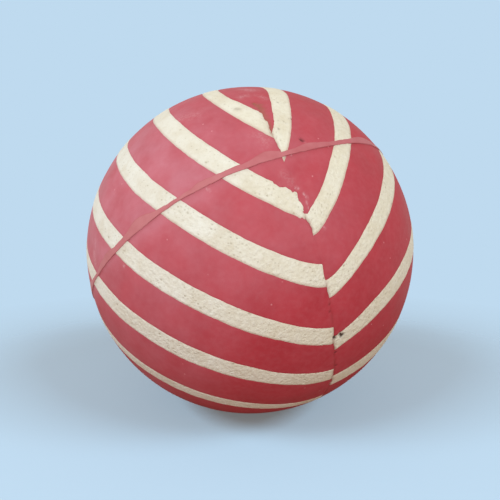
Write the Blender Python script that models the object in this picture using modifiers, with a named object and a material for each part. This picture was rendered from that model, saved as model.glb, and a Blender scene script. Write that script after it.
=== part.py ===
"""Croquet ball, solid moulded rubber, red with cream stripes.

The ball is pressed from two blanks that butt on one seam plane. Each blank is a stack of
red and cream rubber sheets, which the press squeezes into slightly fanned layers, so the
stripes of the two blanks meet in chevrons. A thin red flash stands in the mould's parting
plane. Every sheet of each blank is its own solid, and so is the flash ring.

Metres, +Z up, origin at the centre of the ball. The ball lies as it rests on a lawn, and
its seam is seen a little to the right of centre by someone looking along +Y.
"""

import math

import bmesh
import bpy
from mathutils import Matrix, Vector

MM = 0.001

# Driving sizes
BALL_DIAMETER = 92.0 * MM
GAP = 0.3 * MM                  # between pieces that touch on the real ball
FLASH_HEIGHT = 0.35 * MM        # how far the flash stands above the ball
FLASH_ROOT = 0.6 * MM           # how deep its root reaches below the surface
FLASH_WIDTH = 1.1 * MM          # at the surface
FLASH_CREST = 0.6 * MM          # across its blunt top

# Where the ball's planes lie
SEAM_NORMAL = Vector((-0.923, -0.265, -0.279)).normalized()       # into the left blank
SEAM_OFFSET = -0.9 * MM                                           # from the ball's centre
PARTING_NORMAL = Vector((0.428, -0.308, -0.850)).normalized()     # into the lower mould half
PARTING_OFFSET = -2.3 * MM                                        # from the ball's centre

# Resolution of the turned ball
ROUND_STEPS = 48
PROFILE_STEPS = 24

RED = ("red_rubber", (0.42, 0.045, 0.055, 1.0))
CREAM = ("cream_rubber", (0.76, 0.70, 0.56, 1.0))
RUBBER_ROUGHNESS = 0.62

BALL_RADIUS = BALL_DIAMETER / 2
PARTING_RADIUS = math.sqrt(BALL_RADIUS ** 2 - PARTING_OFFSET ** 2)


class Blank:
    """One striped blank: a fan of layers on one side of the seam.

    The layers' planes all pass through one line outside the ball. A plane of height h obeys
    (up + fan * h / BALL_RADIUS) . p = h, so it crosses the up axis at about h from the ball's
    centre. The first red sheet ends at first_height. sheets holds the thicknesses of the ones
    after it, cream and red in turn, up to the last cream one. The first and the last red
    sheet run out to the ball's surface.
    """

    def __init__(self, name, side, up, fan, first_height, sheets):
        self.name = name
        self.side = side
        self.up = Vector(up).normalized()
        self.fan = Vector(fan)
        self.fan -= self.fan.dot(self.up) * self.up
        self.heights = [first_height * MM]
        for thickness in sheets:
            self.heights.append(self.heights[-1] + thickness * MM)

    def plane(self, height):
        """A point on the layer plane of this height, and the plane's unit normal."""
        normal = self.up + self.fan * (height / BALL_RADIUS)
        return normal * (height / normal.length_squared), normal.normalized()


BLANKS = (
    Blank("left", 1.0, (-0.345, 0.348, -0.872), (0.166, 0.077, -0.035), -36.3,
          (2.4, 6.1, 3.3, 6.5, 3.6, 7.5, 3.7, 7.7, 3.8, 9.0, 3.2, 10.5, 3.3)),
    Blank("right", -1.0, (0.664, 0.326, -0.673), (-0.583, -0.121, -0.633), -20.6,
          (3.0, 6.7, 2.9, 6.8, 3.1, 8.2, 3.9, 11.0, 5.9, 15.0, 6.0)),
)


def clear_scene():
    """Remove every object that is in the file."""
    for item in list(bpy.data.objects):
        bpy.data.objects.remove(item, do_unlink=True)


def make_material(name, color):
    """A plain rubber material."""
    material = bpy.data.materials.new(name)
    material.use_nodes = True
    shader = material.node_tree.nodes["Principled BSDF"]
    shader.inputs["Base Color"].default_value = color
    shader.inputs["Roughness"].default_value = RUBBER_ROUGHNESS
    shader.inputs["Metallic"].default_value = 0.0
    material.diffuse_color = color
    return material


def add_object(name, mesh, material, collection):
    """Link a named object that holds the mesh and its material."""
    mesh.materials.clear()
    mesh.materials.append(material)
    item = bpy.data.objects.new(name, mesh)
    collection.objects.link(item)
    return item


def on_parting_plane():
    """The turn that takes local +Z to the parting plane's normal."""
    return PARTING_NORMAL.to_track_quat("Z", "Y").to_matrix().to_4x4()


def turned_mesh(name, profile, closed):
    """Turn a profile of (radius, height) points about the mould's axis with a Screw modifier."""
    mesh = bpy.data.meshes.new(name + "_profile")
    edges = [(i, i + 1) for i in range(len(profile) - 1)]
    if closed:
        edges.append((len(profile) - 1, 0))
    mesh.from_pydata([(radius, 0.0, height) for radius, height in profile], edges, [])
    item = bpy.data.objects.new(name + "_profile", mesh)
    bpy.context.scene.collection.objects.link(item)
    screw = item.modifiers.new("turn", "SCREW")
    screw.steps = ROUND_STEPS
    screw.render_steps = ROUND_STEPS
    screw.use_merge_vertices = True
    screw.merge_threshold = 0.00001
    depsgraph = bpy.context.evaluated_depsgraph_get()
    turned = bpy.data.meshes.new_from_object(item.evaluated_get(depsgraph))
    turned.name = name
    turned.transform(on_parting_plane())
    bpy.data.objects.remove(item, do_unlink=True)
    bpy.data.meshes.remove(mesh)
    return turned


def ball_profile():
    """Half a circle from top to bottom, with the notch that holds the flash's root."""
    half_notch = FLASH_WIDTH / 2 + GAP
    upper = math.asin((PARTING_OFFSET + half_notch) / BALL_RADIUS)
    lower = math.asin((PARTING_OFFSET - half_notch) / BALL_RADIUS)
    floor = PARTING_RADIUS - FLASH_ROOT - GAP
    points = []
    for i in range(PROFILE_STEPS // 2 + 1):
        angle = math.pi / 2 + (upper - math.pi / 2) * i * 2 / PROFILE_STEPS
        points.append((BALL_RADIUS * math.cos(angle), BALL_RADIUS * math.sin(angle)))
    points.append((floor, PARTING_OFFSET + half_notch))
    points.append((floor, PARTING_OFFSET - half_notch))
    for i in range(PROFILE_STEPS // 2 + 1):
        angle = lower + (-math.pi / 2 - lower) * i * 2 / PROFILE_STEPS
        points.append((BALL_RADIUS * math.cos(angle), BALL_RADIUS * math.sin(angle)))
    points[0] = (0.0, BALL_RADIUS)
    points[-1] = (0.0, -BALL_RADIUS)
    return points


def flash_profile():
    """The flash's section: a root in the notch and a low ridge with a blunt crest."""
    half = FLASH_WIDTH / 2
    inner = PARTING_RADIUS - FLASH_ROOT
    outer = PARTING_RADIUS + FLASH_HEIGHT
    return [(inner, PARTING_OFFSET + half), (PARTING_RADIUS, PARTING_OFFSET + half),
            (outer, PARTING_OFFSET + FLASH_CREST / 2), (outer, PARTING_OFFSET - FLASH_CREST / 2),
            (PARTING_RADIUS, PARTING_OFFSET - half), (inner, PARTING_OFFSET - half)]


def cut(work, point, normal):
    """Keep the side of a plane that its normal points away from, and close the cut."""
    geometry = work.verts[:] + work.edges[:] + work.faces[:]
    result = bmesh.ops.bisect_plane(work, geom=geometry, dist=1e-7, plane_co=point,
                                    plane_no=normal, clear_outer=True)
    rim = [part for part in result["geom_cut"] if isinstance(part, bmesh.types.BMEdge)]
    bmesh.ops.contextual_create(work, geom=rim)


def islands(work):
    """The faces of a mesh as one list for each loose body."""
    waiting = set(work.faces)
    found = []
    while waiting:
        island = [waiting.pop()]
        for face in island:
            for edge in face.edges:
                for neighbour in edge.link_faces:
                    if neighbour in waiting:
                        waiting.remove(neighbour)
                        island.append(neighbour)
        found.append(island)
    return found


def drop_slivers(work):
    """Leave out the thin end of a sheet that the flash's notch cuts off at the seam."""
    for island in sorted(islands(work), key=len)[:-1]:
        points = {vertex for face in island for vertex in face.verts}
        bmesh.ops.delete(work, geom=list(points), context="VERTS")


def layer_mesh(name, ball, blank, low, high):
    """The part of the ball in one blank between two layer heights; None is the ball's surface."""
    work = bmesh.new()
    work.from_mesh(ball)
    outward = SEAM_NORMAL * -blank.side
    cut(work, SEAM_NORMAL * SEAM_OFFSET - outward * (GAP / 2), outward)
    if low is not None:
        point, normal = blank.plane(low)
        cut(work, point + normal * (GAP / 2), -normal)
    if high is not None:
        point, normal = blank.plane(high)
        cut(work, point - normal * (GAP / 2), normal)
    bmesh.ops.remove_doubles(work, verts=work.verts[:], dist=0.00001)
    drop_slivers(work)
    bmesh.ops.recalc_face_normals(work, faces=work.faces[:])
    mesh = bpy.data.meshes.new(name)
    work.to_mesh(mesh)
    work.free()
    return mesh


def add_blank(blank, ball, materials, collection):
    """Add every sheet of a blank, red and cream in turn, as its own object."""
    limits = [None] + blank.heights + [None]
    counts = {"red": 0, "cream": 0}
    for i in range(len(limits) - 1):
        colour = "cream" if i % 2 else "red"
        counts[colour] += 1
        name = f"{blank.name}_{colour}_layer_{counts[colour]}"
        mesh = layer_mesh(name, ball, blank, limits[i], limits[i + 1])
        item = add_object(name, mesh, materials[colour], collection)
        item.data.shade_smooth()
        item.data.set_sharp_from_angle(angle=math.radians(30))


def main():
    """Build the sheets of both blanks and the flash ring."""
    clear_scene()
    collection = bpy.data.collections.new("croquet_ball")
    bpy.context.scene.collection.children.link(collection)
    materials = {"red": make_material(*RED), "cream": make_material(*CREAM)}
    ball = turned_mesh("ball", ball_profile(), closed=False)
    for blank in BLANKS:
        add_blank(blank, ball, materials, collection)
    bpy.data.meshes.remove(ball)
    flash = turned_mesh("mould_flash_ring", flash_profile(), closed=True)
    add_object("mould_flash_ring", flash, materials["red"], collection)


main()
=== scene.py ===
# The looks of a striped rubber croquet ball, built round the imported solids.
#
# Every rubber sheet of the ball gets a fine skin of its own, a closed solid that fills the same
# place as its CAD node: wavy edges where the press pushed the sheets, teeth and a fine gap along
# the seam, pits in the cream, scuffs, and the mould's step under a ragged flash.
# Lengths are in millimetres until add_piece() makes a mesh in metres. Only the floor and the
# lights are given in metres.

import itertools
import math

import bpy
import numpy as np
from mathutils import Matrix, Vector


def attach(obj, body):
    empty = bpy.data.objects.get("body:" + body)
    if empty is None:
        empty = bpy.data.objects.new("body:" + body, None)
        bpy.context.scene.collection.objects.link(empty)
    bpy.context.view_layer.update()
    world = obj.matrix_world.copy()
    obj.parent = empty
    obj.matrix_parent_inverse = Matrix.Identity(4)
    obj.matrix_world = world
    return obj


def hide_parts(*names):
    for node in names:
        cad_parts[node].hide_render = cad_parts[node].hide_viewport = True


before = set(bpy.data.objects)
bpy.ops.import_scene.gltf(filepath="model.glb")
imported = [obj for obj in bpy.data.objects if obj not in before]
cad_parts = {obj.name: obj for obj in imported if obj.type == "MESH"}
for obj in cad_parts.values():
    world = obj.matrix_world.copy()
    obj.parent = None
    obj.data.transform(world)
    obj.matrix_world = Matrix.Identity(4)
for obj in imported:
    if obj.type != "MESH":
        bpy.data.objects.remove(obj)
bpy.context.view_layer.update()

MM = 0.001

# The ball's planes, as the CAD has them
BALL_RADIUS = 46.0
SEAM_NORMAL = np.array((-0.923, -0.265, -0.279))        # into the left blank
SEAM_OFFSET = -0.9
PARTING_NORMAL = np.array((0.428, -0.308, -0.850))      # into the lower mould half
PARTING_OFFSET = -2.3

# The skin's mesh
RELIEF_ROOM = 0.18          # the skin lies this far inside the CAD ball, so its bumps stay inside
HAIRLINE = 0.006            # gap between two sheets
RIM_DEPTH = 0.7             # the wavy rim of a wall ends this deep, where its flat middle starts,
WALL_SHARE = 0.95           # and this far out from the wall's middle
CREAM_SPACING = 0.165       # between neighbouring points
RED_SPACING = 0.25
ARC_SAMPLES = 200           # for measuring an arc's length

# The press's traces: (sideways shift, size) for each noise, with seeds counted on from the first
SHEET_WAVES = ((0.17, 7.0), (0.06, 1.7), (0.03, 0.6))   # in the edges of the sheets,
FRAY = ((0.45, 1.1), (0.32, 0.55))                      # and more of them where they are frayed
WAVES_FIRST_SEED = 20
SEAM_WAVE = (0.35, 9.0)
SEAM_TEETH = ((0.28, 1.3), (0.10, 0.6))
SEAM_WAVE_SEED = 5
TEETH_FIRST_SEED = 11
TEETH_REACH = 1.1           # the teeth fade this far from the seam
PUSH = 1.0                  # how far the left blank's first cream sheet pushes over the seam
PUSH_REACH = 3.0
CURLS = {                   # (layer height, how far the sheets turn up at the seam, reach of the turn)
    "left": ((-37.0, 1.3, 3.5), (-31.0, 0.4, 2.5), (-26.0, 1.4, 2.5), (-16.0, 1.7, 4.2)),
    "right": ((-15.0, 0.0, 1.6), (-10.0, 1.3, 1.6), (1.0, 1.1, 1.6), (8.0, 0.0, 1.6)),
}

# The surface: (height, size, seed) for each of its noises, and how deep its grooves and pits are
SWELLS = ((0.03, 12.0, 41), (0.015, 4.0, 42))
CREAM_GRAIN = ((0.022, 0.9, 46), (0.018, 0.45, 48))
RED_GRAIN = ((0.006, 0.9, 47),)
CREAM_STANDS = 0.05         # how far the cream stands proud of the red,
CREAM_SHOULDER = 0.3        # once this far inside its edge
EDGE_GROOVE = 0.03          # where two sheets meet,
EDGE_GROOVE_REACH = 0.22    # and how wide it is to each side
SEAM_GROOVE = 0.11
TORN_DEPTH = 0.25
SCUFF_HEIGHT = 0.05
PIT_DEPTH = 0.11            # of the cream's many small pits
PIT_MARK_DEPTH = 0.30       # of the few pits in MARKS
MOULD_LIP = 0.03            # the surface rises this far towards the flash,
MOULD_STEP = 0.10           # and drops this far below it

# How far stains and painted shade reach; the shade at the sheets' edges and below the flash is painted
EDGE_REACH = 0.30           # in from both edges of a sheet,
NEXT_EDGE_REACH = 0.26      # and again, more strongly, from its edge to the next sheet
SEAM_REACH = 0.32
FLASH_SHADOW_REACH = 0.45          # of the painted shadow below the flash

# Where the looks change, in shares of the ball's radius
SEAM_OPENS = (-0.06, -0.32) # the seam is closed above the first height and open below the second
CLEAN_FROM = (0.2, 1.2)     # the cream is cleaner the higher and the further left it lies
DUST_AND_SHEEN_HEIGHT = 0.30          # a dusting with painted sheen lies on the left side, thickest at this height,
DUST_AND_SHEEN_REACH = 0.60           # and thins out this far from it

# The flash
FLASH_STEPS = 1500
FLASH_SHARP_ANGLE = 50.0
FLASH_SECTION = ((-0.02, -0.30), (0.0, -0.02), (0.05, 0.03), (0.16, 0.06), (0.30, 0.09), (0.45, 0.11),
                 (0.60, 0.13), (0.75, 0.15), (0.86, 0.16), (0.94, 0.16), (1.0, 0.13), (1.02, 0.06),
                 (1.0, -0.04), (0.97, -0.30), (0.5, -0.36))     # (share of width, height)
FLASH_TOP = 0.16                    # the section's greatest height
FLASH_TALL = 0.78                   # the share of its section's height that it has on average
FLASH_WIDTHS = (1.15, 1.95)         # over cream and over red
FLASH_SWAY = (0.42, 5.0, 68.0)      # its lower edge's swing, times round, first angle in degrees
FLASH_SWELL = (0.20, 10.0, 87.0)    # the same for its width, as a share
FLASH_BULGE = (0.15, 126.0, 18.0)   # one wider place: share, angle and reach in degrees
FLASH_EDGE_RAGS = ((0.12, 3.0, 71), (0.06, 0.8, 72))    # (height, size, seed) for each noise
FLASH_SWELL_RAGS = ((0.2, 6.0, 73),)
FLASH_WIDTH_RAGS = ((0.12, 1.5, 74),)
FLASH_HEIGHT_RAGS = ((0.12, 2.5, 75),)
FLASH_GRAIN = ((0.015, 0.6, 76),)

# The rubber: its own colours, and those that its marks, dirt, dusting with painted sheen, painted shade
# and painted highlights are mixed with
RED = {
    "deep": (0.470, 0.031, 0.047, 1.0), "light": (0.520, 0.040, 0.058, 1.0),
    "mottle": (0.80, 0.45, 0.50, 1.0), "dust": (0.95, 0.60, 0.74, 1.0),
    "smear": (0.58, 0.11, 0.13, 1.0), "seam": (0.30, 0.030, 0.028, 1.0),
    "flash_shadow_tone": (0.32, 0.040, 0.045, 1.0), "edge": (0.42, 0.040, 0.045, 1.0),
    "speck": (0.80, 0.36, 0.40, 1.0), "torn": (0.37, 0.125, 0.080, 1.0),
    "scuff": (0.76, 0.47, 0.50, 1.0), "pit": (0.10, 0.02, 0.02, 1.0),
}
CREAM = {
    "deep": (0.83, 0.80, 0.69, 1.0), "light": (0.90, 0.90, 0.82, 1.0),
    "aged": (0.86, 0.78, 0.52, 1.0), "soil": (0.66, 0.56, 0.38, 1.0),
    "painted_hollow_shade": (0.56, 0.50, 0.36, 1.0), "painted_crown_highlight": (0.98, 0.97, 0.92, 1.0),
    "grain": (0.66, 0.60, 0.46, 1.0), "speck": (0.50, 0.43, 0.30, 1.0),
    "small_pit": (0.42, 0.36, 0.25, 1.0), "edge": (0.50, 0.28, 0.22, 1.0),
    "flash_shadow_tone": (0.60, 0.46, 0.40, 1.0), "seam": (0.34, 0.13, 0.10, 1.0),
    "stain": (0.46, 0.41, 0.32, 1.0), "torn": (0.35, 0.13, 0.08, 1.0),
    "pit": (0.06, 0.025, 0.018, 1.0),
}
FLASH = {
    "deep": (0.50, 0.100, 0.118, 1.0), "light": (0.57, 0.160, 0.180, 1.0),
    "dust": (0.90, 0.62, 0.62, 1.0), "painted_foot_shade": (0.45, 0.060, 0.075, 1.0),
    "speck": (0.38, 0.07, 0.07, 1.0),
}
RUBBER_SPECULAR = 0.28
SHEEN_ROUGHNESS = 0.45
FLASH_SHEEN = 0.10

# The floor, in metres
FLOOR_SIDES = 96
FLOOR_REACH = 0.25
FLOOR_FADE = (0.09, 0.22)                   # it fades into the backdrop between these distances
FLOOR_COLOUR = (0.20, 0.204, 0.208, 1.0)
FLOOR_BOUNCE = (0.130, 0.056, 0.034, 1.0)   # its colour for the light that it sends up to the ball
FLOOR_GLOW = (0.80, 0.82, 0.84, 1.0)        # keeps the floor's shadow light
FLOOR_GLOW_SHARE = 0.17

# Lights: place, width and depth in metres, power in watts, and colour
KEY_LIGHT = ((-0.08, -0.40, 0.20), 1.05, 0.22, 1.42, (0.94, 1.0, 1.01))
FLOOR_LIGHT_PLACES = {"floor_left": (-0.62, -0.50, 0.60), "floor_right": (0.62, -0.50, 0.60)}
FLOOR_LIGHT = (0.45, 0.28, 21.8, (0.61, 1.0, 1.33))     # the rest of it, for each place
SKY_COLOUR = (1.0, 0.95, 0.92, 1.0)
SKY_STRENGTH = 0.66
BACKDROP_COLOUR = (0.521, 0.701, 0.863, 1.0)

# Camera
CAMERA_DISTANCE = 2.5 * BALL_RADIUS
CAMERA_ELEVATION = 3.0
CAMERA_LENS = 27.06
CAMERA_CLIP_START = 0.005   # in metres


def unit(vector):
    """The vector, or each row of an array, at length 1."""
    vector = np.asarray(vector, float)
    return vector / np.linalg.norm(vector, axis=-1, keepdims=True)


def smooth(low, high, value):
    """0 below low, 1 above high, and a smooth rise between them."""
    share = np.clip((value - low) / (high - low), 0.0, 1.0)
    return share * share * (3.0 - 2.0 * share)


def bell(distance, reach):
    """1 at distance 0, falling away smoothly over the reach."""
    return np.exp(-(distance / reach) ** 2)


def direction(azimuth, elevation):
    """A unit vector: azimuth 0 faces the viewer at -Y and grows to the right, in degrees."""
    turn = math.radians(azimuth)
    lift = math.radians(elevation)
    return np.array((math.sin(turn) * math.cos(lift), -math.cos(turn) * math.cos(lift), math.sin(lift)))


def scatter(cells, seed):
    """A repeatable number from 0 to 1 for each whole-number cell."""
    mask = 0xFFFFFFFF
    mixed = (cells @ np.array((1619, 31337, 6971)) + seed * 1013) & mask
    mixed = ((mixed ^ (mixed >> 15)) * 1274126177) & mask
    mixed = ((mixed ^ (mixed >> 13)) * 1911520717) & mask
    return (mixed ^ (mixed >> 16)) / mask


def noise(points, size, seed):
    """Smooth noise from -1 to 1, with features of about this size."""
    scaled = points / size + seed * 0.37
    cells = np.floor(scaled).astype(np.int64)
    part = scaled - cells
    ease = part * part * (3.0 - 2.0 * part)
    total = np.zeros(points.shape[:-1])
    for corner in itertools.product((0, 1), repeat=3):
        weight = np.prod(np.where(corner, ease, 1.0 - ease), axis=-1)
        total += weight * scatter(cells + np.array(corner), seed)
    return total * 2.0 - 1.0


def layered(points, layers, start=0.0):
    """Several noises added to a start value, each given by its height, size and seed."""
    return sum((height * noise(points, size, seed) for height, size, seed in layers), start)


def pores(points, along, size, share, seed):
    """Small pits in a share of a grid's cells: 1 in the middle of a pit and 0 outside.

    They are longer in the direction along.
    """
    scaled = points / size
    first = np.floor(scaled - 0.5).astype(np.int64)
    deepest = np.zeros(len(points))
    for corner in itertools.product((0, 1), repeat=3):
        cells = first + np.array(corner)
        place = cells + np.stack([scatter(cells, seed + axis) for axis in range(3)], axis=-1)
        gap = scaled - place
        gap -= 0.3 * np.sum(gap * along, axis=-1, keepdims=True) * along
        radius = 0.14 + 0.20 * scatter(cells, seed + 3)
        pit = np.clip(1.5 * (1.0 - np.linalg.norm(gap, axis=-1) / radius), 0.0, 1.0)
        deepest = np.maximum(deepest, np.where(scatter(cells, seed + 4) < share, pit, 0.0))
    return deepest


SEAM = unit(SEAM_NORMAL)
PARTING = unit(PARTING_NORMAL)
LEVEL = unit(np.array((1.0, 0.0, 0.0)) - PARTING[0] * PARTING)      # in the parting plane, nearest to +X
SIDE = np.cross(PARTING, LEVEL)                                     # in the parting plane, square to it


class Blank:
    """One striped blank, a fan of layers on one side of the seam, as in the CAD.

    The first red sheet ends at first_height, and sheets holds the thicknesses of the ones after
    it, from the first cream one to the last. heights holds where each of these sheets ends. A
    layer plane of height h obeys (up + fan * h / BALL_RADIUS) . p = h.
    """

    def __init__(self, name, side, up, fan, first_height, sheets):
        self.name = name
        self.inward = SEAM * side
        self.seam = SEAM_OFFSET * side
        self.up = unit(up)
        self.fan = np.array(fan) - np.dot(fan, self.up) * self.up
        self.heights = [first_height]
        for thickness in sheets:
            self.heights.append(self.heights[-1] + thickness)

    def height_of(self, surface):
        """The layer height at each direction from the ball's centre."""
        return BALL_RADIUS * (surface @ self.up) / (1.0 - surface @ self.fan)

    def from_seam(self, surface):
        """How far each direction's point on the ball lies inside the seam plane."""
        return BALL_RADIUS * (surface @ self.inward) - self.seam

    def arc(self, height, count):
        """Directions along a layer plane's circle, from the seam round to the seam."""
        normal = self.up + self.fan * height / BALL_RADIUS
        length = np.linalg.norm(normal)
        normal = normal / length
        offset = height / BALL_RADIUS / length
        across = unit(self.inward - (self.inward @ normal) * normal)
        along = np.cross(normal, across)
        radius = math.sqrt(1.0 - offset * offset)
        edge = (self.seam + HAIRLINE / 2) / BALL_RADIUS
        swing = math.acos((edge - offset * (self.inward @ normal)) / (radius * (self.inward @ across)))
        angle = np.linspace(-swing, swing, count)[:, None]
        return offset * normal + radius * (np.cos(angle) * across + np.sin(angle) * along)

    def arc_length(self, height):
        """How long that circle's arc is on the ball."""
        steps = np.diff(self.arc(height, ARC_SAMPLES), axis=0)
        return np.linalg.norm(steps, axis=1).sum() * BALL_RADIUS

    def seam_arc(self, start, end, beyond, spacing):
        """Directions along the seam between two of its points, on the side of beyond."""
        centre = self.inward * (self.seam + HAIRLINE / 2) / BALL_RADIUS
        radius = np.linalg.norm(start - centre)
        middle = unit(start + end - 2.0 * centre)
        if middle @ beyond < 0.0:
            middle = -middle
        side = unit(start - centre - ((start - centre) @ middle) * middle)
        half = math.acos((start - centre) @ middle / radius)
        count = math.ceil(2.0 * half * radius * BALL_RADIUS / spacing) + 1
        angle = np.linspace(half, -half, count)[1:-1, None]
        return centre + radius * (np.cos(angle) * middle + np.sin(angle) * side)


BLANKS = (
    Blank("left", 1.0, (-0.345, 0.348, -0.872), (0.166, 0.077, -0.035), -36.3,
          (2.4, 6.1, 3.3, 6.5, 3.6, 7.5, 3.7, 7.7, 3.8, 9.0, 3.2, 10.5, 3.3)),
    Blank("right", -1.0, (0.664, 0.326, -0.673), (-0.583, -0.121, -0.633), -20.6,
          (3.0, 6.7, 2.9, 6.8, 3.1, 8.2, 3.9, 11.0, 5.9, 15.0, 6.0)),
)

# Marks on the surface: kind, one end and the other (azimuth, elevation), reach and strength, which
# widens the mark where it is over 1
MARKS = (
    ("pushed", (0.0, 47.5), (4.5, 40.0), 4.0, 1.0),
    ("frayed", (7.0, 19.8), (13.0, 15.6), 1.5, 1.0),
    ("frayed", (13.0, 15.6), (14.0, 11.5), 1.5, 1.4),
    ("frayed", (4.0, 43.5), (6.4, 34.5), 1.3, 0.45),
    ("torn", (3.4, 46.5), (6.3, 34.6), 0.9, 0.75),
    ("torn", (1.6, 47.6), (3.2, 46.4), 0.45, 1.0),
    ("scuff", (-4.5, 51.8), (-1.5, 53.6), 0.9, 0.4),
    ("scuff", (3.5, 53.6), (7.0, 51.0), 0.9, 0.3),
    ("scuff", (-2.0, 60.0), (0.5, 59.0), 1.5, 0.5),
    ("scuff", (-28.0, 42.0), (-21.0, 43.0), 1.8, 0.25),
    ("scuff", (-24.3, 32.9), (-21.1, 31.2), 0.7, 0.35),
    # These two scuffs are partly painted highlight: pale streaks where the far left catches the light.
    ("scuff", (-51.6, 1.0), (-50.8, -1.6), 0.8, 0.45),
    ("scuff", (-51.0, 5.0), (-50.6, 3.0), 0.5, 0.30),
    ("scuff", (3.0, 33.0), (4.2, 31.0), 1.6, 0.25),
    ("scuff", (8.4, 21.6), (10.5, 19.6), 1.0, 0.20),
    ("scuff", (9.4, 27.0), (9.5, 26.2), 0.35, 1.0),
    ("scuff", (11.3, 27.3), (11.4, 27.1), 0.22, 0.8),
    ("scuff", (11.4, 17.9), (12.2, 17.7), 0.30, 0.7),
    ("scuff", (13.5, 16.4), (13.6, 16.2), 0.22, 0.9),
    ("scuff", (14.2, 15.7), (14.3, 15.5), 0.26, 0.9),
    ("scuff", (14.0, 14.4), (14.1, 14.1), 0.22, 0.8),
    ("scuff", (14.3, 13.2), (14.3, 13.0), 0.18, 0.8),
    ("scuff", (16.6, 31.4), (16.7, 31.3), 0.22, 0.6),
    ("scuff", (-10.8, 17.6), (-10.0, 17.2), 0.25, 0.7),
    ("scuff", (-34.7, -1.5), (-34.6, -1.6), 0.30, 0.8),
    ("scuff", (18.2, 8.3), (18.3, 8.1), 0.25, 0.8),
    ("pit", (15.6, 32.2), (16.0, 32.0), 0.38, 1.0),
    ("pit", (25.4, -19.4), (25.9, -19.7), 0.42, 2.0),
    ("pit", (23.5, -20.0), (23.7, -20.3), 0.30, 1.5),
    ("pit", (20.1, -10.6), (20.1, -10.7), 0.18, 0.55),
    ("pit", (20.5, -12.5), (20.5, -12.6), 0.18, 0.55),
    ("pit", (25.7, -25.2), (25.7, -25.3), 0.22, 1.0),
    ("pit", (28.1, -30.5), (28.1, -30.6), 0.22, 1.0),
    ("pit", (11.7, 48.8), (11.8, 48.6), 0.20, 0.5),
    ("pit", (14.5, 40.3), (14.5, 40.2), 0.20, 0.5),
    ("pit", (9.0, 35.7), (9.1, 35.6), 0.20, 0.5),
    ("stain", (-5.2, 44.4), (-4.2, 44.1), 0.60, 1.0),
)


def stroke(surface, start, end, reach):
    """How strongly a mark drawn between two directions covers each point, from 0 to 1."""
    first = direction(*start)
    span = direction(*end) - first
    share = np.clip((surface - first) @ span / (span @ span), 0.0, 1.0)
    gap = np.linalg.norm(surface - first - share[:, None] * span, axis=-1) * BALL_RADIUS
    ragged = 1.0 + 0.45 * noise(surface * BALL_RADIUS, 0.7 * reach, 61)
    return bell(gap, reach * ragged)


def marks_of(surface, kind):
    """The strongest mark of one kind at each point."""
    total = np.zeros(len(surface))
    for name, start, end, reach, strength in MARKS:
        if name == kind:
            total = np.maximum(total, strength * stroke(surface, start, end, reach))
    return np.minimum(total, 1.0)


def cream_cover(surface, blank, margin):
    """1 over a blank's cream sheets, falling to 0 at this margin of layer height outside them."""
    height = blank.height_of(surface)
    cover = np.zeros(len(surface))
    for low, high in zip(blank.heights[::2], blank.heights[1::2]):
        over = smooth(low - margin, low + 0.4, height) * smooth(high + margin, high - 0.4, height)
        cover = np.maximum(cover, over)
    return cover


def curled(surface, blank, inside):
    """Directions turned about the ball's middle, where the sheets turn up at the seam."""
    turning = np.cross(SEAM, surface)
    rise = turning @ blank.up
    heights, shifts, reaches = zip(*CURLS[blank.name])
    height = blank.height_of(surface)
    curl = np.interp(height, heights, shifts) * np.exp(-inside / np.interp(height, heights, reaches))
    slope = rise / np.sqrt(rise ** 2 + 0.05)
    return unit(surface - turning * (curl * slope / BALL_RADIUS)[:, None])


def seam_sway(surface, inside):
    """How far the seam is pushed sideways: a slow wave, teeth next to the cream, and one push."""
    points = surface * BALL_RADIUS
    amount, size = SEAM_WAVE
    sway = amount * noise(points, size, SEAM_WAVE_SEED) * bell(inside, 3.0 * TEETH_REACH)
    toothed = np.maximum(cream_cover(surface, BLANKS[0], 3.0), cream_cover(surface, BLANKS[1], 3.0))
    for seed, (amount, size) in enumerate(SEAM_TEETH, TEETH_FIRST_SEED):
        sway += amount * toothed * noise(points, size, seed) * bell(inside, TEETH_REACH)
    return sway - PUSH * marks_of(surface, "pushed") * bell(inside, PUSH_REACH)


def pressed(surface, blank):
    """Where the press pushed each direction: curled, wavy and frayed sheets, and a toothed seam."""
    inside = blank.from_seam(surface)
    surface = curled(surface, blank, inside)
    points = surface * BALL_RADIUS
    shift = SEAM * seam_sway(surface, inside)[:, None]
    waves = [(amount, size, 1.0) for amount, size in SHEET_WAVES]
    frayed = marks_of(surface, "frayed")
    waves += [(amount, size, frayed) for amount, size in FRAY]
    for number, (amount, size, share) in enumerate(waves):
        for axis in range(3):
            seed = WAVES_FIRST_SEED + 3 * number + axis
            shift[:, axis] += amount * share * noise(points, size, seed)
    return unit(points + shift)


def parting_ring(angle):
    """Points on the ball round the parting plane, from its level direction on."""
    radius = math.sqrt(BALL_RADIUS ** 2 - PARTING_OFFSET ** 2)
    ring = np.cos(angle)[:, None] * LEVEL + np.sin(angle)[:, None] * SIDE
    return ring * radius + PARTING * PARTING_OFFSET


def flash_edge(angle):
    """How far below the parting plane the flash's lower edge runs, round the ball."""
    amount, turns, start = FLASH_SWAY
    swing = amount * np.cos(turns * (angle - math.radians(start)))
    return layered(parting_ring(angle), FLASH_EDGE_RAGS, swing)


def below_flash(surface):
    """How far each point lies below the flash's lower edge."""
    angle = np.arctan2(surface @ SIDE, surface @ LEVEL)
    return BALL_RADIUS * (surface @ PARTING) - PARTING_OFFSET - flash_edge(angle)


def mould_step(below):
    """The lower mould half closed a little low: the surface drops just below the flash."""
    lip = MOULD_LIP * bell(np.minimum(below, 0.0), 1.5)
    drop = MOULD_STEP * smooth(0.0, 0.5, below) * np.exp(-below / 5.0)
    return np.where(below < 0.0, lip, MOULD_LIP - drop)


def cleanness(surface):
    """How smooth the cream has stayed: it is smoothest at the upper left."""
    return smooth(*CLEAN_FROM, surface[:, 2] - surface[:, 0])


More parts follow.
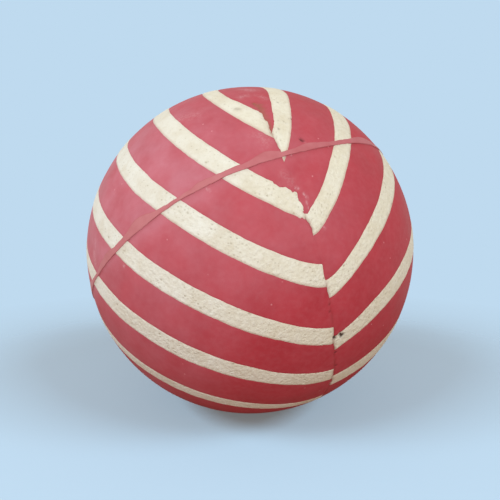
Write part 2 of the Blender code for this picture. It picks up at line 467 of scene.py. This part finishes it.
def cream_pits(surface, blank):
    """Small pits in the cream rubber, closer together in some patches than in others."""
    points = surface * BALL_RADIUS
    patch = smooth(-0.25, 0.55, noise(points, 5.0, 31)) * (1.0 - cleanness(surface))
    along = unit(np.cross(blank.up, surface))
    small = pores(points, along, 0.65, 0.12 + 0.80 * patch, 100)
    large = pores(points, along, 0.9, 0.03 + 0.22 * patch, 110)
    return np.maximum(0.8 * small, large)


def relief(surface, colour, edge, traits):
    """How far each point stands off the skin's sphere."""
    points = surface * BALL_RADIUS
    height = layered(points, SWELLS) + mould_step(below_flash(surface))
    height -= EDGE_GROOVE * bell(edge, EDGE_GROOVE_REACH)
    height -= SEAM_GROOVE * traits["seam"]
    height -= TORN_DEPTH * traits["torn"] * (0.7 + 0.5 * noise(points, 0.6, 44))
    height -= PIT_MARK_DEPTH * traits["pit_mark"]
    height += SCUFF_HEIGHT * traits["scuff"] * noise(points, 0.4, 45)
    if colour == "cream":
        shoulder = smooth(0.0, CREAM_SHOULDER, edge)
        height += CREAM_STANDS * shoulder
        height += layered(points, CREAM_GRAIN)
        height -= PIT_DEPTH * traits["pit"] * shoulder
    else:
        height += layered(points, RED_GRAIN)
    return height - RELIEF_ROOM


def dust_and_sheen_share(surface):
    """How much pale dusting and painted sheen lie on the red: most on the left side, a little above the
    middle.
    """
    dust_and_sheen_spread = bell(surface[:, 2] - DUST_AND_SHEEN_HEIGHT, DUST_AND_SHEEN_REACH) - 1.3 * surface[:, 0]
    return np.clip(0.68 * dust_and_sheen_spread + 0.12 * noise(surface * BALL_RADIUS, 14.0, 51), 0.08, 1.0)


def surface_traits(surface, blank, colour, edge, to_next, inside):
    """What the material has to know at each point, as named numbers from 0 to 1.

    edge is the distance to the sheet's nearer edge, to_next to the edge of the next sheet, and
    inside to the seam.
    """
    points = surface * BALL_RADIUS
    traits = {"torn": marks_of(surface, "torn"), "scuff": marks_of(surface, "scuff"),
              "pit_mark": marks_of(surface, "pit")}
    # Painted shadow line along the sheets' edges, strongest at the edge towards the next sheet.
    traits["edge"] = np.maximum(0.35 * bell(edge, EDGE_REACH), bell(to_next, NEXT_EDGE_REACH))
    creams_meet = cream_cover(surface, BLANKS[0], 2.5) * cream_cover(surface, BLANKS[1], 2.5)
    open_below = 0.10 + 0.90 * smooth(*SEAM_OPENS, surface[:, 2])
    open_seam = np.maximum(open_below, 0.85 * creams_meet)
    traits["seam"] = bell(inside, SEAM_REACH) * open_seam * (0.75 + 0.5 * noise(points, 1.3, 52))
    below = below_flash(surface)
    # Painted shadow: the rubber just below the flash is darkened as if the flash shaded it.
    traits["under"] = np.where(below > 0.0, np.exp(-np.maximum(below, 0.0) / FLASH_SHADOW_REACH), 0.0)
    if colour == "cream":
        traits["stain"] = marks_of(surface, "stain")
        traits["coarse"] = 1.0 - 0.8 * cleanness(surface)
        traits["pit"] = cream_pits(surface, blank)
        traits["aged"] = smooth(-0.5, 0.5, surface[:, 0] + 0.9 * np.maximum(surface[:, 2] - 0.4, 0.0))
    else:
        traits["near_seam"] = np.exp(-inside / 9.0)
        # A pale dusting with painted sheen on the lit upper left, thinner just below the flash.
        traits["dust"] = dust_and_sheen_share(surface) * (1.0 - 0.42 * smooth(0.0, 5.0, below) * bell(below, 16.0))
    return traits


def skin_points(base, blank, colour, low, high):
    """The finished surface points over a patch of directions, and their traits."""
    height = blank.height_of(base)
    edge = np.minimum(height - low, high - height)
    inside = blank.from_seam(base)
    surface = pressed(base, blank)
    traits = surface_traits(surface, blank, colour, edge, high - height, inside)
    lift = relief(surface, colour, edge, traits)
    return surface * (BALL_RADIUS + lift)[:, None], traits


def band_patch(blank, low, high, spacing):
    """A sheet with a neighbour on both sides: its directions, quads, triangles and walls."""
    bottom = blank.arc(low, 3)
    top = blank.arc(high, 3)
    width = max(np.linalg.norm(bottom[1] - top[1]), (high - low) / BALL_RADIUS)
    rows = math.ceil(width * BALL_RADIUS / spacing) + 1
    fine = np.linspace(low, high, rows)
    length = max(blank.arc_length(low), blank.arc_length(high))
    columns = math.ceil(length / spacing) + 1
    base = np.concatenate([blank.arc(height, columns) for height in fine])
    index = np.arange(rows * columns).reshape(rows, columns)
    quads = np.stack([index[:-1, :-1], index[:-1, 1:], index[1:, 1:], index[1:, :-1]], -1).reshape(-1, 4)
    walls = [index[0], index[:, -1], index[-1, ::-1], index[::-1, 0]]
    return base, quads, np.empty((0, 3), int), walls


def cap_patch(blank, level, sign, spacing):
    """The same for the first sheet, with sign -1, or the last, which run out over the ball."""
    arc = blank.arc(level, math.ceil(blank.arc_length(level) / spacing) + 1)
    rim = blank.seam_arc(arc[-1], arc[0], blank.up * sign, spacing)
    loop = np.concatenate([arc, rim])
    middle = unit(loop.mean(axis=0))
    reach = np.linalg.norm(loop - middle, axis=1).max() * BALL_RADIUS
    rows = math.ceil(reach / spacing)
    count = len(loop)
    share = (np.arange(1, rows + 1) / rows)[:, None, None]
    rings = unit(middle * (1.0 - share) + loop * share).reshape(-1, 3)
    base = np.concatenate([rings, [middle]])
    index = np.arange(rows * count).reshape(rows, count)
    after = np.roll(index, -1, axis=1)
    quads = np.stack([index[:-1], index[1:], after[1:], after[:-1]], -1).reshape(-1, 4)
    fan = np.stack([index[0], after[0], np.full(count, rows * count)], -1)
    rim_index = np.append(index[-1, len(arc) - 1:], index[-1, 0])
    walls = [index[-1, :len(arc)], rim_index]
    if sign < 0.0:
        quads = quads[:, ::-1]
        fan = fan[:, ::-1]
        walls = [wall[::-1] for wall in walls[::-1]]
    return base, quads, fan, walls


def close_patch(base, points, walls):
    """Close a patch into a solid: a rim inwards from its loop, then a flat fan on each wall.

    A band's walls are low layer plane, seam, high layer plane, seam; a cap has one of each. The
    two seam runs of a band are one flat wall. Each wall's rim leans in to the wall's middle, and
    corners lean in to each other. Returns the points, rim quads, fans and the loop.
    """
    loop = np.concatenate([wall[:-1] for wall in walls])
    count = len(loop)
    place = np.zeros(len(base), int)
    place[loop] = np.arange(count)
    flat = base * (BALL_RADIUS - RIM_DEPTH)
    inner = np.empty((count, 3))
    rings = walls[0::2] + [np.concatenate(walls[1::2])]
    corners = [wall[[0, -1]] for wall in walls[0::2]]
    for ring in rings + corners:
        centre = flat[ring].mean(axis=0)
        inner[place[ring]] = centre + WALL_SHARE * (flat[ring] - centre)
    ids = len(points) + np.arange(count)
    strip = np.stack([np.roll(loop, -1), loop, ids, np.roll(ids, -1)], -1)
    centres = []
    fans = []
    for ring in rings:
        hub = len(points) + count + len(centres)
        centres.append(inner[place[ring]].mean(axis=0))
        rim = ids[place[ring]]
        fans.append(np.stack([np.roll(rim, -1), rim, np.full(len(rim), hub)], -1))
    return np.concatenate([points, inner, centres]), strip, np.concatenate(fans), loop


def mark_sharp(mesh, loop):
    """Sharp edges along a closed loop of vertices, and at every vertex that comes after them."""
    ends = np.empty(len(mesh.edges) * 2, np.int64)
    mesh.edges.foreach_get("vertices", ends)
    ends = ends.reshape(-1, 2)
    place = np.full(len(mesh.vertices), -1)
    place[loop] = np.arange(len(loop))
    first, last = place[ends].T
    gap = np.abs(first - last)
    on_loop = (first >= 0) & (last >= 0) & ((gap == 1) | (gap == len(loop) - 1))
    mesh.edges.foreach_set("use_edge_sharp", on_loop | (ends > loop.max()).any(axis=1))


def add_piece(name, points, quads, triangles, material, traits):
    """A smooth shaded mesh object in metres, with the traits of its first points as attributes."""
    mesh = bpy.data.meshes.new(name)
    mesh.from_pydata((points * MM).tolist(), [], quads.tolist() + triangles.tolist())
    mesh.polygons.foreach_set("use_smooth", np.ones(len(mesh.polygons), bool))
    for trait, values in traits.items():
        attribute = mesh.attributes.new(trait, "FLOAT", "POINT")
        padded = np.zeros(len(points), np.float32)
        padded[:len(values)] = values
        attribute.data.foreach_set("value", padded)
    mesh.materials.append(material)
    piece = bpy.data.objects.new(name, mesh)
    bpy.context.scene.collection.objects.link(piece)
    return piece


def add_sheet(blank, colour, number, low, high, material):
    """One rubber sheet of a blank, in place of its CAD node."""
    name = f"{blank.name}_{colour}_layer_{number}"
    spacing = CREAM_SPACING if colour == "cream" else RED_SPACING
    if low is None:
        high -= HAIRLINE / 2
        base, quads, fan, walls = cap_patch(blank, high, -1.0, spacing)
    elif high is None:
        low += HAIRLINE / 2
        base, quads, fan, walls = cap_patch(blank, low, 1.0, spacing)
    else:
        low += HAIRLINE / 2
        high -= HAIRLINE / 2
        base, quads, fan, walls = band_patch(blank, low, high, spacing)
    limits = (-math.inf if low is None else low, math.inf if high is None else high)
    points, traits = skin_points(base, blank, colour, *limits)
    points, strip, fans, loop = close_patch(base, points, walls)
    piece = add_piece(name + "_skin", points, np.concatenate([quads, strip]),
                      np.concatenate([fan, fans]), material, traits)
    mark_sharp(piece.data, loop)
    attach(piece, "root")
    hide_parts(name)


def add_blanks(materials):
    """Every sheet of both blanks, red and cream in turn."""
    for blank in BLANKS:
        limits = [None] + blank.heights + [None]
        for i in range(len(limits) - 1):
            colour = "cream" if i % 2 else "red"
            add_sheet(blank, colour, i // 2 + 1, limits[i], limits[i + 1], materials[colour])


def redness(surface):
    """1 where the flash runs over red sheets and 0 where it runs over cream ones."""
    total = np.zeros(len(surface))
    for blank in BLANKS:
        total += np.where(blank.from_seam(surface) > 0.0, 1.0 - cream_cover(surface, blank, 3.5), 0.0)
    return total


def flash_width(angle, over_red):
    """How wide the flash is round the ball: wider over the red, and swelling here and there."""
    points = parting_ring(angle)
    amount, turns, start = FLASH_SWELL
    swell = 1.0 + amount * np.cos(turns * (angle - math.radians(start)))
    swell = layered(points, FLASH_SWELL_RAGS, swell)
    amount, place, reach = FLASH_BULGE
    swell += amount * bell(angle - math.radians(place), math.radians(reach))
    narrow, wide = FLASH_WIDTHS
    return (narrow + (wide - narrow) * over_red) * swell + layered(points, FLASH_WIDTH_RAGS)


def add_flash(material):
    """The ragged flash: a low, sloping ridge with a sharp lower edge, all round the parting plane."""
    angle = np.linspace(0.0, 2.0 * math.pi, FLASH_STEPS, endpoint=False)
    ring = np.cos(angle)[:, None] * LEVEL + np.sin(angle)[:, None] * SIDE
    points = parting_ring(angle)
    surface = unit(points)
    over_red = redness(surface)
    width = flash_width(angle, over_red)
    lower = PARTING_OFFSET + flash_edge(angle)
    tall = FLASH_TALL + layered(points, FLASH_HEIGHT_RAGS)
    ground = BALL_RADIUS - RELIEF_ROOM + MOULD_LIP + layered(points, SWELLS)
    ground += CREAM_STANDS * (1.0 - over_red)
    rows = []
    crest = []
    for share, height in FLASH_SECTION:
        offset = lower - width * (1.0 - share)
        radius = ground + height * tall
        if height > 0.0:
            radius = radius + layered(points + 10.0 * share, FLASH_GRAIN)
        around = np.sqrt(radius ** 2 - offset ** 2)
        rows.append(ring * around[:, None] + PARTING * offset[:, None])
        crest.append(np.full(FLASH_STEPS, max(height, 0.0) / FLASH_TOP))
    index = np.arange(len(rows) * FLASH_STEPS).reshape(len(rows), FLASH_STEPS)
    after = np.roll(index, -1, axis=0)
    quads = np.stack([after, np.roll(after, -1, axis=1), np.roll(index, -1, axis=1), index], -1)
    # The same pale dusting with painted sheen as on the red sheets.
    traits = {"crest": np.concatenate(crest), "dust": np.tile(dust_and_sheen_share(surface), len(rows))}
    piece = add_piece("mould_flash_ragged", np.concatenate(rows), quads.reshape(-1, 4),
                      np.empty((0, 3), int), material, traits)
    piece.data.set_sharp_from_angle(angle=math.radians(FLASH_SHARP_ANGLE))
    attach(piece, "root")
    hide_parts("mould_flash_ring")


def feed(tree, socket, value):
    """Link the socket that is given as a value to an input, or set the input to a plain value."""
    if isinstance(value, bpy.types.NodeSocket):
        tree.links.new(value, socket)
    else:
        socket.default_value = value


def node(tree, kind, inputs=None, **settings):
    """Add a shader node; an input is given as a value or as the socket that feeds it."""
    made = tree.nodes.new(kind)
    for name, value in settings.items():
        setattr(made, name, value)
    for name, value in (inputs or {}).items():
        feed(tree, made.inputs[name], value)
    return made


def own_place(tree, seed):
    """The object's own coordinates, moved along by a seed."""
    place = node(tree, "ShaderNodeTexCoord").outputs["Object"]
    return node(tree, "ShaderNodeMapping", {"Vector": place, "Location": (seed, seed, seed)}).outputs[0]


def texture(tree, size, detail=3.0, seed=0.0):
    """Noise over the object's own coordinates, with features of this size in millimetres."""
    inputs = {"Vector": own_place(tree, seed), "Scale": 1.0 / (size * MM), "Detail": detail}
    return node(tree, "ShaderNodeTexNoise", inputs).outputs[0]


def trait(tree, name):
    """One of the mesh's own traits."""
    return node(tree, "ShaderNodeAttribute", attribute_name=name).outputs["Fac"]


def ramp(tree, value, low, high, start=0.0, end=1.0):
    """Stretch a value so that low gives start and high gives end."""
    inputs = {"Value": value, "From Min": low, "From Max": high, "To Min": start, "To Max": end}
    return node(tree, "ShaderNodeMapRange", inputs).outputs[0]


def maths(tree, operation, first, second=0.0):
    """Combine two values by one of the Math node's operations."""
    made = node(tree, "ShaderNodeMath", operation=operation)
    feed(tree, made.inputs[0], first)
    feed(tree, made.inputs[1], second)
    return made.outputs[0]


def blend(tree, share, first, second):
    """Mix two colours by a share; the Mix node's colour sockets are 6 and 7, and 2 comes out."""
    made = node(tree, "ShaderNodeMix", data_type="RGBA")
    feed(tree, made.inputs[0], share)
    feed(tree, made.inputs[6], first)
    feed(tree, made.inputs[7], second)
    return made.outputs[2]


def bump(tree, height, depth, strength=1.0, below=None):
    """Fine relief of this depth in millimetres, over the one below it."""
    inputs = {"Height": height, "Strength": strength, "Distance": depth * MM}
    if below is not None:
        inputs["Normal"] = below
    return node(tree, "ShaderNodeBump", inputs).outputs[0]


def new_material(name):
    """A material with its node tree and its shader."""
    material = bpy.data.materials.new(name)
    material.use_nodes = True
    tree = material.node_tree
    return material, tree, tree.nodes["Principled BSDF"]


def finish_material(tree, shader, colour, roughness, normal, sheen):
    """Link a material's own results to its shader."""
    tree.links.new(colour, shader.inputs["Base Color"])
    tree.links.new(roughness, shader.inputs["Roughness"])
    tree.links.new(normal, shader.inputs["Normal"])
    shader.inputs["Specular IOR Level"].default_value = RUBBER_SPECULAR
    shader.inputs["Sheen Weight"].default_value = sheen
    shader.inputs["Sheen Roughness"].default_value = SHEEN_ROUGHNESS


def specks(tree, size, share, seed, reach=0.12):
    """Small round specks in a share of a pattern's cells; they reach this share of a cell."""
    inputs = {"Vector": own_place(tree, seed), "Scale": 1.0 / (size * MM)}
    cells = node(tree, "ShaderNodeTexVoronoi", inputs)
    dot = ramp(tree, cells.outputs["Distance"], reach, 0.4 * reach)
    pick = node(tree, "ShaderNodeSeparateColor", {"Color": cells.outputs["Color"]}).outputs[0]
    return maths(tree, "MULTIPLY", dot, maths(tree, "LESS_THAN", pick, share))


def tint(tree, share, strength, colour, tone):
    """Mix a tone into a colour, by a share that is scaled by a strength."""
    return blend(tree, maths(tree, "MULTIPLY", share, strength), colour, tone)


def red_rubber():
    """Dull red rubber: cloudy, with a pale dusting and painted sheen on one side, a few pink specks and
    pale scuffs.
    """
    material, tree, shader = new_material("red_rubber_skin")
    cloud = ramp(tree, texture(tree, 7.0, 5.0), 0.35, 0.65)
    colour = blend(tree, cloud, RED["deep"], RED["light"])
    mottle = ramp(tree, texture(tree, 1.2, 4.0, 12.0), 0.40, 0.75)
    colour = tint(tree, mottle, 0.05, colour, RED["mottle"])
    patchy = ramp(tree, texture(tree, 5.0, 5.0, 3.0), 0.3, 0.7, 0.16, 0.28)
    # pale dusting, partly painted sheen on the lit upper left
    colour = tint(tree, trait(tree, "dust"), patchy, colour, RED["dust"])
    near_seam = trait(tree, "near_seam")
    smear = maths(tree, "MULTIPLY", near_seam, ramp(tree, texture(tree, 2.2, 3.0, 5.0), 0.45, 0.7))
    colour = tint(tree, smear, 0.30, colour, RED["smear"])
    colour = tint(tree, trait(tree, "seam"), 0.45, colour, RED["seam"])
    # painted shadow just below the flash
    colour = tint(tree, trait(tree, "under"), 0.30, colour, RED["flash_shadow_tone"])
    # painted shadow line along the sheet's edges
    colour = tint(tree, trait(tree, "edge"), 0.10, colour, RED["edge"])
    colour = tint(tree, specks(tree, 2.0, 0.10, 2.0), 0.6, colour, RED["speck"])
    rough = texture(tree, 0.7, 3.0, 8.0)
    torn = maths(tree, "MULTIPLY", trait(tree, "torn"), ramp(tree, rough, 0.3, 0.6, 0.6, 1.0))
    colour = blend(tree, torn, colour, RED["torn"])
    chalky = ramp(tree, texture(tree, 0.45, 2.0, 14.0), 0.42, 0.60, 0.25, 1.0)
    scuffed = maths(tree, "MULTIPLY", trait(tree, "scuff"), chalky)
    colour = tint(tree, scuffed, 0.8, colour, RED["scuff"])
    colour = tint(tree, trait(tree, "pit_mark"), 0.85, colour, RED["pit"])
    roughness = ramp(tree, cloud, 0.0, 1.0, 0.50, 0.62)
    normal = bump(tree, texture(tree, 0.28, 4.0, 1.0), 0.02)
    finish_material(tree, shader, colour, roughness, normal, 0.0)
    return material


def cream_rubber():
    """Cream rubber: coarse and granular, with painted shade in its hollows, painted highlights on its
    crowns, darkened pits, and a painted shadow line along its edges.
    """
    material, tree, shader = new_material("cream_rubber_skin")
    coarse = trait(tree, "coarse")
    shade = ramp(tree, texture(tree, 5.0, 4.0), 0.35, 0.65)
    colour = blend(tree, shade, CREAM["deep"], CREAM["light"])
    colour = tint(tree, trait(tree, "aged"), 0.40, colour, CREAM["aged"])
    soiled = ramp(tree, texture(tree, 4.0, 5.0, 17.0), 0.52, 0.72)
    colour = tint(tree, soiled, 0.28, colour, CREAM["soil"])
    lumps = texture(tree, 0.75, 3.0, 6.0)
    # Painted shade in the lumps' hollows and painted highlight on their crowns, so that the bumps show.
    painted_hollow_shade = maths(tree, "MULTIPLY", coarse, ramp(tree, lumps, 0.52, 0.34))
    colour = tint(tree, painted_hollow_shade, 0.13, colour, CREAM["painted_hollow_shade"])
    painted_crown_highlight = maths(tree, "MULTIPLY", coarse, ramp(tree, lumps, 0.52, 0.68))
    colour = tint(tree, painted_crown_highlight, 0.20, colour, CREAM["painted_crown_highlight"])
    grain = ramp(tree, texture(tree, 0.40, 3.0, 4.0), 0.52, 0.74)
    colour = tint(tree, grain, 0.18, colour, CREAM["grain"])
    worn = ramp(tree, texture(tree, 3.5, 3.0, 11.0), 0.42, 0.62, 0.05, 0.40)
    colour = tint(tree, specks(tree, 0.55, 0.40, 9.0, 0.30), worn, colour, CREAM["speck"])
    colour = tint(tree, trait(tree, "pit"), 0.72, colour, CREAM["small_pit"])
    # painted shadow line along the sheet's edges
    colour = tint(tree, trait(tree, "edge"), 0.42, colour, CREAM["edge"])
    # painted shadow just below the flash
    colour = tint(tree, trait(tree, "under"), 0.25, colour, CREAM["flash_shadow_tone"])
    colour = tint(tree, trait(tree, "seam"), 0.75, colour, CREAM["seam"])
    colour = tint(tree, trait(tree, "stain"), 0.6, colour, CREAM["stain"])
    colour = tint(tree, trait(tree, "torn"), 0.15, colour, CREAM["torn"])
    colour = tint(tree, trait(tree, "pit_mark"), 0.96, colour, CREAM["pit"])
    roughness = ramp(tree, grain, 0.0, 1.0, 0.62, 0.80)
    normal = bump(tree, lumps, 0.26, strength=coarse)
    normal = bump(tree, texture(tree, 0.16, 2.0, 7.0), 0.02, below=normal)
    finish_material(tree, shader, colour, roughness, normal, 0.0)
    return material


def flash_rubber():
    """The flash's red rubber, darker at the base of its ridge as painted shade, so that its thin crest
    looks paler, with a dusting and painted sheen over it.
    """
    material, tree, shader = new_material("flash_rubber_skin")
    cloud = ramp(tree, texture(tree, 3.0, 4.0), 0.3, 0.7)
    colour = blend(tree, cloud, FLASH["deep"], FLASH["light"])
    # pale dusting, partly painted sheen on the lit upper left
    colour = tint(tree, trait(tree, "dust"), 0.12, colour, FLASH["dust"])
    # Painted shade: the flash darkens towards the base of its ridge and under its overhang.
    painted_foot_shade = ramp(tree, trait(tree, "crest"), 0.0, 0.35, 0.5, 0.0)
    colour = blend(tree, painted_foot_shade, colour, FLASH["painted_foot_shade"])
    colour = tint(tree, specks(tree, 1.6, 0.3, 4.0), 0.5, colour, FLASH["speck"])
    roughness = ramp(tree, cloud, 0.0, 1.0, 0.55, 0.70)
    normal = bump(tree, texture(tree, 0.3, 4.0, 9.0), 0.03)
    finish_material(tree, shader, colour, roughness, normal, FLASH_SHEEN)
    return material


def floor_material():
    """A pale floor that fades into the backdrop away from the ball."""
    material, tree, shader = new_material("pale_floor")
    place = node(tree, "ShaderNodeTexCoord").outputs["Object"]
    distance = node(tree, "ShaderNodeVectorMath", {0: place}, operation="LENGTH").outputs["Value"]
    clear = ramp(tree, distance, *FLOOR_FADE)
    seen = node(tree, "ShaderNodeLightPath").outputs["Is Camera Ray"]
    tree.links.new(blend(tree, seen, FLOOR_BOUNCE, FLOOR_COLOUR), shader.inputs["Base Color"])
    shader.inputs["Roughness"].default_value = 1.0
    shader.inputs["Specular IOR Level"].default_value = 0.0
    glow = node(tree, "ShaderNodeEmission", {"Color": FLOOR_GLOW}).outputs[0]
    share = maths(tree, "MULTIPLY", seen, FLOOR_GLOW_SHARE)
    surface = node(tree, "ShaderNodeMixShader", {0: share, 1: shader.outputs[0], 2: glow}).outputs[0]
    see_through = node(tree, "ShaderNodeBsdfTransparent").outputs[0]
    mixed = node(tree, "ShaderNodeMixShader", {0: clear, 1: surface, 2: see_through})
    tree.links.new(mixed.outputs[0], tree.nodes["Material Output"].inputs["Surface"])
    return material


def add_floor():
    """A round floor at the ball's resting point."""
    bpy.ops.mesh.primitive_circle_add(vertices=FLOOR_SIDES, radius=FLOOR_REACH, fill_type="NGON",
                                      location=(0.0, 0.0, -BALL_RADIUS * MM))
    floor = bpy.context.object
    floor.name = "floor"
    floor.data.materials.append(floor_material())
    return floor


def add_light(name, place, width, depth, power, colour):
    """A soft rectangular light aimed at the ball, which the camera doesn't see."""
    lamp = bpy.data.lights.new(name, "AREA")
    lamp.shape = "RECTANGLE"
    lamp.size = width
    lamp.size_y = depth
    lamp.energy = power
    lamp.color = colour
    light = bpy.data.objects.new(name, lamp)
    light.location = place
    light.rotation_mode = "QUATERNION"
    light.rotation_quaternion = Vector(place).to_track_quat("Z", "Y")
    light.visible_camera = False
    bpy.context.scene.collection.objects.link(light)
    return light


def add_floor_lights(floor):
    """Two soft lights on the floor alone, which draw the ball's wide shadow there."""
    lit = bpy.data.collections.new("lit_by_floor_lights")
    lit.objects.link(floor)
    for name, place in FLOOR_LIGHT_PLACES.items():
        light = add_light(name, place, *FLOOR_LIGHT)
        light.light_linking.receiver_collection = lit


def add_world():
    """A pale blue backdrop for the camera, and a warm white sky for everything else."""
    world = bpy.data.worlds.new("backdrop")
    world.use_nodes = True
    tree = world.node_tree
    backdrop = tree.nodes["Background"]
    backdrop.inputs["Color"].default_value = BACKDROP_COLOUR
    sky = node(tree, "ShaderNodeBackground", {"Color": SKY_COLOUR, "Strength": SKY_STRENGTH})
    seen = node(tree, "ShaderNodeLightPath").outputs["Is Camera Ray"]
    mixed = node(tree, "ShaderNodeMixShader", {0: seen, 1: sky.outputs[0], 2: backdrop.outputs[0]})
    tree.links.new(mixed.outputs[0], tree.nodes["World Output"].inputs["Surface"])
    bpy.context.scene.world = world


def add_camera():
    """In front of the ball and a little above its middle, close enough to bend the stripes."""
    lens = bpy.data.cameras.new("camera")
    lens.lens = CAMERA_LENS
    lens.clip_start = CAMERA_CLIP_START
    camera = bpy.data.objects.new("camera", lens)
    camera.location = Vector(direction(0.0, CAMERA_ELEVATION)) * CAMERA_DISTANCE * MM
    camera.rotation_mode = "QUATERNION"
    camera.rotation_quaternion = camera.location.to_track_quat("Z", "Y")
    bpy.context.scene.collection.objects.link(camera)
    bpy.context.scene.camera = camera


bpy.context.scene.view_settings.view_transform = "Standard"
add_blanks({"red": red_rubber(), "cream": cream_rubber()})
add_flash(flash_rubber())
add_floor_lights(add_floor())
add_light("key", *KEY_LIGHT)
add_world()
add_camera()
